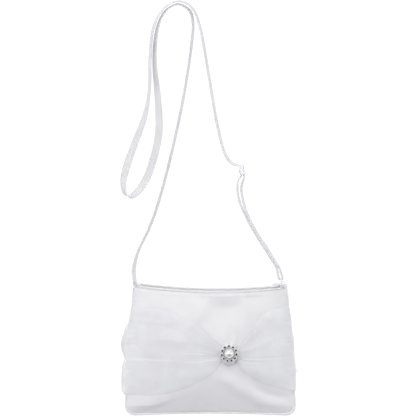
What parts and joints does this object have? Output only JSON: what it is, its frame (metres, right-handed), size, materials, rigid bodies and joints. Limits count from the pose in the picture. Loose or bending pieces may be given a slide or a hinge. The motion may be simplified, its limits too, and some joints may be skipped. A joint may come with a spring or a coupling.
{
  "type": "flower girl purse",
  "caption": "Small white satin shoulder purse with a zipped mouth, a gathered organza sash under a pearl brooch and a long flat strap, lying on its back.",
  "frame": {"origin": "on the flat of the back panel, where the purse rests, below the middle of the pouch", "axes": "+X along the mouth towards the zip's closed end and the strap ring, +Y from the bottom seam towards the mouth, +Z out of the front towards the brooch; the purse lies on its back on z = 0"},
  "size_m": [0.1772, 0.4131, 0.0356],
  "materials": {
    "satin": "white duchess satin",
    "lining": "white polyester lining",
    "organza": "sheer white organza",
    "strap_satin": "white satin ribbon",
    "zip_nylon": "white woven tape and nylon coil",
    "zip_metal": "white enamel",
    "adjuster_enamel": "white enamel",
    "ring_metal": "white enamel",
    "brooch_silver": "silver-plated",
    "pearl": "pearl lacquer",
    "crystal": "foiled crystal"
  },
  "bodies": {
    "purse": {"front_panel": "satin", "back_panel": "satin", "front_lining": "lining", "back_lining": "lining", "sash_wing_left": "organza", "sash_wing_right": "organza", "sash_knot": "organza", "strap_main": "strap_satin", "strap_drop": "strap_satin", "strap_tail": "strap_satin", "ring_tab": "strap_satin", "zip_tape_back": "zip_nylon", "zip_tape_front": "zip_nylon", "zip_coil_back": "zip_nylon", "zip_coil_front": "zip_nylon", "zip_stop_left": "zip_metal", "zip_stop_right": "zip_metal", "brooch_base": "brooch_silver", "pearl_cup": "brooch_silver", "stone_cup_01": "brooch_silver", "stone_cup_02": "brooch_silver", "stone_cup_03": "brooch_silver", "stone_cup_04": "brooch_silver", "stone_cup_05": "brooch_silver", "stone_cup_06": "brooch_silver", "stone_cup_07": "brooch_silver", "stone_cup_08": "brooch_silver", "stone_cup_09": "brooch_silver", "stone_cup_10": "brooch_silver", "stone_cup_11": "brooch_silver", "pearl": "pearl", "stone_01": "crystal", "stone_02": "crystal", "stone_03": "crystal", "stone_04": "crystal", "stone_05": "crystal", "stone_06": "crystal", "stone_07": "crystal", "stone_08": "crystal", "stone_09": "crystal", "stone_10": "crystal", "stone_11": "crystal"},
    "slider": {"zip_slider": "zip_metal", "zip_bail": "zip_metal"},
    "puller": {"zip_puller": "zip_metal"},
    "adjuster": {"strap_adjuster": "adjuster_enamel", "strap_end_loop": "strap_satin"},
    "ring": {"strap_ring": "ring_metal", "strap_ring_loop": "strap_satin"}
  },
  "joints": [
    {"name": "zip_travel", "type": "hinge", "parent": "purse", "child": "slider", "pos_m": [0.0078, 0.6686, 0], "axis": [0, 0, -1], "range_deg": [0, 12.1]},
    {"name": "puller_swing", "type": "hinge", "parent": "slider", "child": "puller", "pos_m": [0.06423, 0.0645, 0.01104], "axis": [0.0318, -0.3405, 0.9397], "range_deg": [0, 170]},
    {"name": "adjuster_slide", "type": "slide", "parent": "purse", "child": "adjuster", "axis": [0.2599, -0.9656, 0], "range_m": [0, 0.004]},
    {"name": "ring_swing", "type": "hinge", "parent": "purse", "child": "ring", "pos_m": [0.07155, 0.06656, 0.0057], "axis": [0, 0, 1], "range_deg": [-6, 18]}
  ]
}
